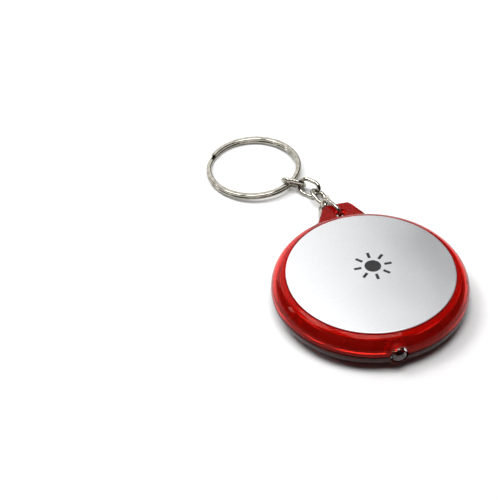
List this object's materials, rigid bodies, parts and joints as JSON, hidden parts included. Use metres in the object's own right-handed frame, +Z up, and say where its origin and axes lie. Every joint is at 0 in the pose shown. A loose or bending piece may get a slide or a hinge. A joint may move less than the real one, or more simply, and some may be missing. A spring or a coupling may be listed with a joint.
{
  "type": "keychain flashlight",
  "caption": "Round flat keychain torch: translucent case, sprung metal press plate, coin cells and LED inside, with a short link chain and a split key ring.",
  "frame": {"origin": "centre of the case's flat underside, on the surface that it lies on", "axes": "+Z up through the press plate, the LED looks along -Y, the lug and the chain are towards +Y"},
  "size_m": [0.059, 0.1034, 0.011],
  "materials": {
    "red_plastic": "glossy, translucent",
    "plate_metal": "satin",
    "black_plastic": "matte",
    "clear_lens": "clear",
    "cell_steel": "satin",
    "contact_metal": "plated",
    "screw_steel": "plated",
    "chain_nickel": "nickel plated"
  },
  "bodies": {
    "case": {"lower_shell": "red_plastic", "upper_shell": "red_plastic", "battery_holder": "black_plastic", "battery_lower": "cell_steel", "battery_upper": "cell_steel", "positive_contact": "contact_metal", "negative_contact": "contact_metal", "led_lens": "clear_lens", "led_anode_leg": "contact_metal", "led_cathode_leg": "contact_metal", "return_spring": "contact_metal", "screw_1": "screw_steel", "screw_2": "screw_steel", "screw_3": "screw_steel"},
    "button": {"press_plate": "plate_metal", "plate_carrier": "red_plastic"},
    "lug_ring": {"lug_ring": "chain_nickel"},
    "link_1": {"chain_link_1": "chain_nickel"},
    "link_2": {"chain_link_2": "chain_nickel"},
    "link_3": {"chain_link_3": "chain_nickel"},
    "link_4": {"chain_link_4": "chain_nickel"},
    "key_ring": {"split_ring": "chain_nickel"}
  },
  "joints": [
    {"name": "plate_press", "type": "slide", "parent": "case", "child": "button", "axis": [0, 0, -1], "range_m": [0, 0.0007], "stiffness_N_per_m": 2000, "springref_m": -0.0005, "deforming": ["return_spring", "positive_contact"]},
    {"name": "lug_ring_swing", "type": "hinge", "parent": "case", "child": "lug_ring", "pos_m": [0, 0.0302, 0.0055], "axis": [0, 0, 1], "range_deg": [-60, 35]},
    {"name": "link_1_swing", "type": "hinge", "parent": "lug_ring", "child": "link_1", "pos_m": [-0.00292, 0.03675, 0.00394], "axis": [-0.2825, 0.6346, 0.7193], "range_deg": [-15, 35]},
    {"name": "link_2_swing", "type": "hinge", "parent": "link_1", "child": "link_2", "pos_m": [-0.00152, 0.04124, 0.00164], "axis": [-0.5565, -0.2339, -0.7972], "range_deg": [-50, 50]},
    {"name": "link_3_swing", "type": "hinge", "parent": "link_2", "child": "link_3", "pos_m": [-0.00312, 0.04602, 0.00248], "axis": [-0.7926, -0.3521, 0.4978], "range_deg": [-50, 50]},
    {"name": "link_4_swing", "type": "hinge", "parent": "link_3", "child": "link_4", "pos_m": [-0.0066, 0.04983, 0.00256], "axis": [-0.3927, -0.3404, -0.8544], "range_deg": [-50, 50]},
    {"name": "key_ring_swing", "type": "hinge", "parent": "link_4", "child": "key_ring", "pos_m": [-0.00868, 0.0512, 0.00244], "axis": [0.7431, 0.6691, 0], "range_deg": [-45, 70]}
  ]
}
